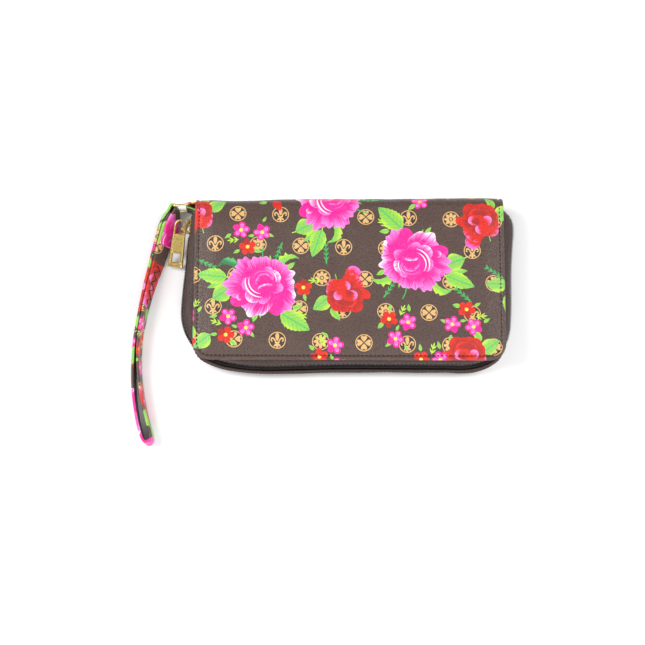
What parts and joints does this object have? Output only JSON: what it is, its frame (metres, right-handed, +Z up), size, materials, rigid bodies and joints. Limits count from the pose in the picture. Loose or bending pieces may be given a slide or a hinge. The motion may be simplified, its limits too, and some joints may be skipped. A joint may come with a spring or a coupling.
{
  "type": "wristlet wallet",
  "caption": "Zip-around wristlet wallet with padded printed covers, an inner coin pocket, card slots, and a wrist strap looped on a ring.",
  "frame": {"origin": "centre of the flat resting face under the back cover, midway across the width and midway from the front edge to the back of the spine", "axes": "+X across the width, away from the wrist strap; +Y towards the spine; +Z up through the closed wallet"},
  "size_m": [0.2373, 0.1582, 0.024],
  "materials": {
    "printed_leather": "pebbled faux leather with a floral print",
    "band_leather": "pebbled faux leather",
    "board": "stiffening board",
    "lining": "woven lining",
    "slot_leather": "smooth faux leather",
    "tape": "woven zip tape",
    "coil": "nylon coil",
    "antique_brass": "antique, scratched",
    "gold_wire": "polished"
  },
  "bodies": {
    "back_cover": {"back_cover_leather": "printed_leather", "back_cover_board": "board", "back_cover_lining": "lining", "back_card_slot_1": "slot_leather", "back_card_slot_2": "slot_leather", "back_card_slot_3": "slot_leather", "back_card_slot_4": "slot_leather", "lower_zip_band": "band_leather", "lower_zip_tape": "tape", "lower_zip_coil": "coil", "spine_leather": "printed_leather", "spine_lining": "lining", "left_end_patch": "band_leather", "right_end_patch": "band_leather", "left_gusset": "lining", "right_gusset": "lining", "strap_tab": "printed_leather"},
    "front_cover": {"front_cover_leather": "printed_leather", "front_cover_board": "board", "front_cover_lining": "lining", "front_card_slot_1": "slot_leather", "front_card_slot_2": "slot_leather", "front_card_slot_3": "slot_leather", "front_card_slot_4": "slot_leather", "upper_zip_band": "band_leather", "upper_zip_tape": "tape", "upper_zip_coil": "coil"},
    "coin_pocket": {"coin_pocket_back": "lining", "coin_pocket_front": "lining", "coin_pocket_lip": "lining", "coin_pocket_binding": "lining", "coin_zip_tape": "tape", "coin_zip_coil": "coil"},
    "coin_slider": {"coin_zip_slider": "antique_brass"},
    "coin_pull": {"coin_zip_pull": "antique_brass"},
    "slider": {"zip_slider": "antique_brass"},
    "link": {"pull_link": "antique_brass"},
    "pull": {"zip_pull": "antique_brass"},
    "ring": {"strap_ring": "gold_wire"},
    "strap": {"wrist_strap": "printed_leather"}
  },
  "joints": [
    {"name": "cover_open", "type": "hinge", "parent": "back_cover", "child": "front_cover", "pos_m": [0, 0.05, 0.012], "axis": [-1, 0, 0], "range_deg": [0, 75], "deforming": ["spine_leather", "spine_lining", "left_gusset", "right_gusset"]},
    {"name": "pocket_open", "type": "hinge", "parent": "back_cover", "child": "coin_pocket", "pos_m": [0, 0.05, 0.012], "axis": [-1, 0, 0], "range_deg": [0, 37.5]},
    {"name": "zip_slide", "type": "slide", "parent": "back_cover", "child": "slider", "axis": [-0.0849, -0.9964, 0], "range_m": [0, 0.06]},
    {"name": "link_tilt", "type": "hinge", "parent": "slider", "child": "link", "pos_m": [-0.10177, 0.0388, 0.012], "axis": [-0.9964, 0.0849, 0], "range_deg": [0, 12]},
    {"name": "pull_lift", "type": "hinge", "parent": "link", "child": "pull", "pos_m": [-0.10631, 0.03336, 0.012], "axis": [-0.9987, 0.0501, 0], "range_deg": [0, 65]},
    {"name": "ring_swing", "type": "hinge", "parent": "back_cover", "child": "ring", "pos_m": [-0.1022, 0.0508, 0.0076], "axis": [0, 0, -1], "range_deg": [0, 70]},
    {"name": "strap_swing", "type": "hinge", "parent": "ring", "child": "strap", "pos_m": [-0.1118, 0.0498, 0.0076], "axis": [0, 0, -1], "range_deg": [0, 120]},
    {"name": "coin_zip_slide", "type": "slide", "parent": "coin_pocket", "child": "coin_slider", "axis": [1, 0, 0], "range_m": [0, 0.14]},
    {"name": "coin_pull_swing", "type": "hinge", "parent": "coin_slider", "child": "coin_pull", "pos_m": [-0.072, -0.034, 0.0155], "axis": [0, 0, 1], "range_deg": [-60, 60]}
  ],
  "couplings": [
    {"joint": "pocket_open", "follows": "cover_open", "ratio": 0.5}
  ]
}
